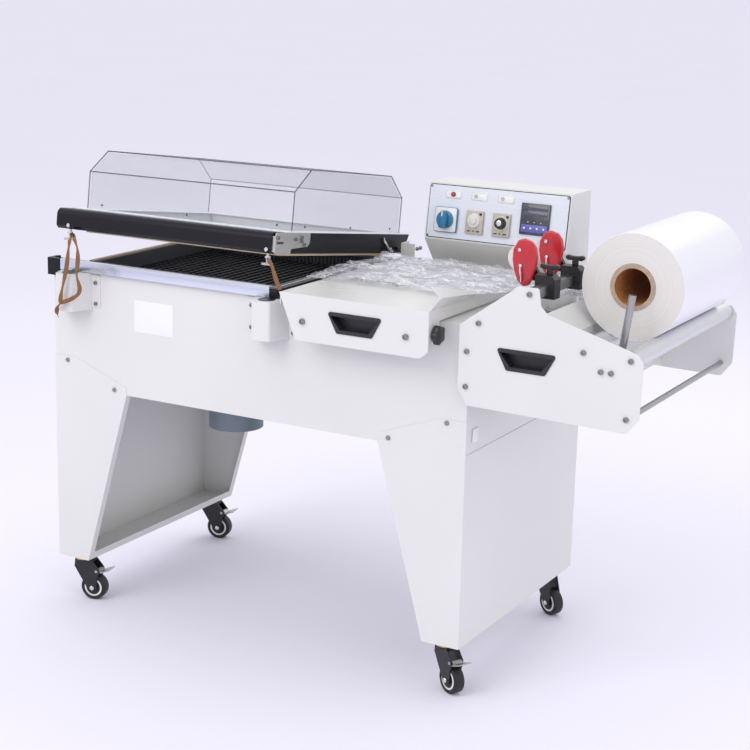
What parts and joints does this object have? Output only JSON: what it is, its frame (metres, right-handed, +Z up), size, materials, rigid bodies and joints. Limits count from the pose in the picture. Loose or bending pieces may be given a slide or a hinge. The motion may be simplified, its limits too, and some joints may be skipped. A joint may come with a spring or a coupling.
{
  "type": "l bar sealer",
  "caption": "Manual L bar sealer on casters: hinged sealing lid with clear hood over a shrink chamber, sliding packing table and film carriage with a film roll.",
  "frame": {"origin": "on the floor, under the middle of the machine's bounding box", "axes": "+X from the chamber side towards the film roll, +Y from the operator towards the back, +Z up"},
  "size_m": [1.494, 0.6716, 1.0773],
  "materials": {
    "cream_paint": "satin",
    "pale_sheet": "satin",
    "polished_steel": "polished",
    "zinc_steel": "satin",
    "chrome": "polished",
    "black_bar": "satin",
    "black_steel": "satin",
    "black_plastic": "satin",
    "dark_liner": "matt",
    "seal_cream": "matt",
    "gasket_tan": "matt",
    "clear_hood": "gloss",
    "clear_film": "gloss",
    "film_white": "gloss",
    "pale_roller": "satin",
    "motor_blue": "satin",
    "red_plastic": "gloss",
    "white_plastic": "satin",
    "beige_plastic": "satin",
    "blue_plastic": "satin",
    "tyre_black": "satin",
    "tie_cloth": "matt"
  },
  "bodies": {
    "machine": {"body_shell": "cream_paint", "legs": "cream_paint", "caster_plates": "zinc_steel", "chamber_liner": "dark_liner", "wire_grids": "black_steel", "heater_tubes": "zinc_steel", "rim_gasket": "gasket_tan", "fan_motor": "motor_blue", "lower_jaws": "black_bar", "jaw_guard_strip": "polished_steel", "seal_wires": "polished_steel", "magnet_brackets": "cream_paint", "electromagnets": "zinc_steel", "hinge_posts": "cream_paint", "hinge_shaft": "polished_steel", "slide_guides": "zinc_steel", "control_box": "cream_paint", "control_panel": "pale_sheet", "panel_instruments": "beige_plastic", "film_web": "clear_film"},
    "lid": {"lid_front_bar": "black_bar", "lid_right_bar": "black_bar", "lid_frame": "pale_sheet", "hood": "clear_hood", "lid_seal_strips": "seal_cream", "lid_fittings": "polished_steel", "tie_ribbons": "tie_cloth"},
    "table": {"table_deck": "cream_paint", "table_face": "cream_paint", "table_handle": "black_plastic"},
    "lock_knob": {"table_lock_knob": "black_plastic"},
    "carriage": {"carriage_plates": "cream_paint", "carriage_handle": "black_plastic", "carriage_rods": "polished_steel"},
    "film_roll": {"film_roll": "film_white"},
    "inner_roller": {"inner_roller": "pale_roller"},
    "outer_roller": {"outer_roller": "pale_roller"},
    "fan": {"fan_impeller": "zinc_steel"},
    "rotary_knob": {"rotary_knob": "blue_plastic"},
    "timer_dial_left": {"timer_dial_left": "white_plastic"},
    "timer_dial_right": {"timer_dial_right": "black_plastic"},
    "perforator_front": {"perforator_clamp_front": "black_steel", "perforator_cover_front": "red_plastic"},
    "needle_wheel_front": {"needle_wheel_front": "white_plastic"},
    "clamp_knob_front": {"clamp_knob_front": "black_plastic"},
    "perforator_rear": {"perforator_clamp_rear": "black_steel", "perforator_cover_rear": "red_plastic"},
    "needle_wheel_rear": {"needle_wheel_rear": "white_plastic"},
    "clamp_knob_rear": {"clamp_knob_rear": "black_plastic"},
    "caster_front_left": {"fork_front_left": "black_steel"},
    "wheel_front_left": {"wheel_front_left": "tyre_black"},
    "brake_pedal_front_left": {"brake_pedal_front_left": "zinc_steel"},
    "caster_rear_left": {"fork_rear_left": "black_steel"},
    "wheel_rear_left": {"wheel_rear_left": "tyre_black"},
    "brake_pedal_rear_left": {"brake_pedal_rear_left": "zinc_steel"},
    "caster_front_right": {"fork_front_right": "black_steel"},
    "wheel_front_right": {"wheel_front_right": "tyre_black"},
    "brake_pedal_front_right": {"brake_pedal_front_right": "zinc_steel"},
    "caster_rear_right": {"fork_rear_right": "black_steel"},
    "wheel_rear_right": {"wheel_rear_right": "tyre_black"}
  },
  "joints": [
    {"name": "lid_hinge", "type": "hinge", "parent": "machine", "child": "lid", "pos_m": [-0.397, 0.25775, 0.85], "axis": [-1, 0, 0], "range_deg": [-7.62, 52]},
    {"name": "table_slide", "type": "slide", "parent": "machine", "child": "table", "axis": [0, -1, 0], "range_m": [0, 0.18]},
    {"name": "lock_knob_turn", "type": "hinge", "parent": "table", "child": "lock_knob", "pos_m": [0.283, -0.31025, 0.796], "axis": [1, 0, 0], "continuous": true},
    {"name": "carriage_slide", "type": "slide", "parent": "machine", "child": "carriage", "axis": [0, -1, 0], "range_m": [0, 0.15]},
    {"name": "film_roll_turn", "type": "hinge", "parent": "carriage", "child": "film_roll", "pos_m": [0.639, 0.03575, 0.90928], "axis": [0, 1, 0], "continuous": true},
    {"name": "inner_roller_turn", "type": "hinge", "parent": "carriage", "child": "inner_roller", "pos_m": [0.585, -0.00225, 0.794], "axis": [0, 1, 0], "continuous": true},
    {"name": "outer_roller_turn", "type": "hinge", "parent": "carriage", "child": "outer_roller", "pos_m": [0.693, -0.00225, 0.794], "axis": [0, 1, 0], "continuous": true},
    {"name": "fan_turn", "type": "hinge", "parent": "machine", "child": "fan", "pos_m": [-0.413, 0.00775, 0.67], "axis": [0, 0, 1], "continuous": true},
    {"name": "rotary_knob_turn", "type": "hinge", "parent": "machine", "child": "rotary_knob", "pos_m": [0.036, 0.20501, 0.94497], "axis": [0, -0.9884, 0.1521], "range_deg": [-60, 60]},
    {"name": "timer_dial_left_turn", "type": "hinge", "parent": "machine", "child": "timer_dial_left", "pos_m": [0.11, 0.20562, 0.94893], "axis": [0, -0.9884, 0.1521], "range_deg": [-135, 135]},
    {"name": "timer_dial_right_turn", "type": "hinge", "parent": "machine", "child": "timer_dial_right", "pos_m": [0.178, 0.20562, 0.94893], "axis": [0, -0.9884, 0.1521], "range_deg": [-135, 135]},
    {"name": "perforator_slide_front", "type": "slide", "parent": "carriage", "child": "perforator_front", "axis": [0, 1, 0], "range_m": [-0.045, 0.045]},
    {"name": "needle_wheel_turn_front", "type": "hinge", "parent": "perforator_front", "child": "needle_wheel_front", "pos_m": [0.418, -0.20725, 0.952], "axis": [0, 1, 0], "continuous": true},
    {"name": "clamp_knob_turn_front", "type": "hinge", "parent": "perforator_front", "child": "clamp_knob_front", "pos_m": [0.483, -0.20725, 0.935], "axis": [0, 0, 1], "range_deg": [-180, 180]},
    {"name": "perforator_slide_rear", "type": "slide", "parent": "carriage", "child": "perforator_rear", "axis": [0, 1, 0], "range_m": [-0.045, 0.3]},
    {"name": "needle_wheel_turn_rear", "type": "hinge", "parent": "perforator_rear", "child": "needle_wheel_rear", "pos_m": [0.418, -0.07725, 0.952], "axis": [0, 1, 0], "continuous": true},
    {"name": "clamp_knob_turn_rear", "type": "hinge", "parent": "perforator_rear", "child": "clamp_knob_rear", "pos_m": [0.483, -0.07725, 0.935], "axis": [0, 0, 1], "range_deg": [-180, 180]},
    {"name": "swivel_front_left", "type": "hinge", "parent": "machine", "child": "caster_front_left", "pos_m": [-0.69, -0.23425, 0.102], "axis": [0, 0, 1], "continuous": true},
    {"name": "wheel_turn_front_left", "type": "hinge", "parent": "caster_front_left", "child": "wheel_front_left", "pos_m": [-0.66457, -0.22884, 0.0315], "axis": [-0.2079, 0.9781, 0], "continuous": true},
    {"name": "brake_pedal_front_left", "type": "hinge", "parent": "caster_front_left", "child": "brake_pedal_front_left", "pos_m": [-0.65381, -0.22656, 0.074], "axis": [-0.2079, 0.9781, 0], "range_deg": [-3, 14]},
    {"name": "swivel_rear_left", "type": "hinge", "parent": "machine", "child": "caster_rear_left", "pos_m": [-0.69, 0.29775, 0.102], "axis": [0, 0, 1], "continuous": true},
    {"name": "wheel_turn_rear_left", "type": "hinge", "parent": "caster_rear_left", "child": "wheel_rear_left", "pos_m": [-0.66457, 0.30316, 0.0315], "axis": [-0.2079, 0.9781, 0], "continuous": true},
    {"name": "brake_pedal_rear_left", "type": "hinge", "parent": "caster_rear_left", "child": "brake_pedal_rear_left", "pos_m": [-0.65381, 0.30544, 0.074], "axis": [-0.2079, 0.9781, 0], "range_deg": [-3, 14]},
    {"name": "swivel_front_right", "type": "hinge", "parent": "machine", "child": "caster_front_right", "pos_m": [0.296, -0.23425, 0.102], "axis": [0, 0, 1], "continuous": true},
    {"name": "wheel_turn_front_right", "type": "hinge", "parent": "caster_front_right", "child": "wheel_front_right", "pos_m": [0.31896, -0.24646, 0.0315], "axis": [0.4695, 0.8829, 0], "continuous": true},
    {"name": "brake_pedal_front_right", "type": "hinge", "parent": "caster_front_right", "child": "brake_pedal_front_right", "pos_m": [0.32867, -0.25162, 0.074], "axis": [0.4695, 0.8829, 0], "range_deg": [-3, 14]},
    {"name": "swivel_rear_right", "type": "hinge", "parent": "machine", "child": "caster_rear_right", "pos_m": [0.296, 0.29775, 0.102], "axis": [0, 0, 1], "continuous": true},
    {"name": "wheel_turn_rear_right", "type": "hinge", "parent": "caster_rear_right", "child": "wheel_rear_right", "pos_m": [0.31896, 0.28554, 0.0315], "axis": [0.4695, 0.8829, 0], "continuous": true}
  ],
  "couplings": [
    {"joint": "inner_roller_turn", "follows": "film_roll_turn", "ratio": -5.6842},
    {"joint": "outer_roller_turn", "follows": "film_roll_turn", "ratio": -5.6842}
  ]
}
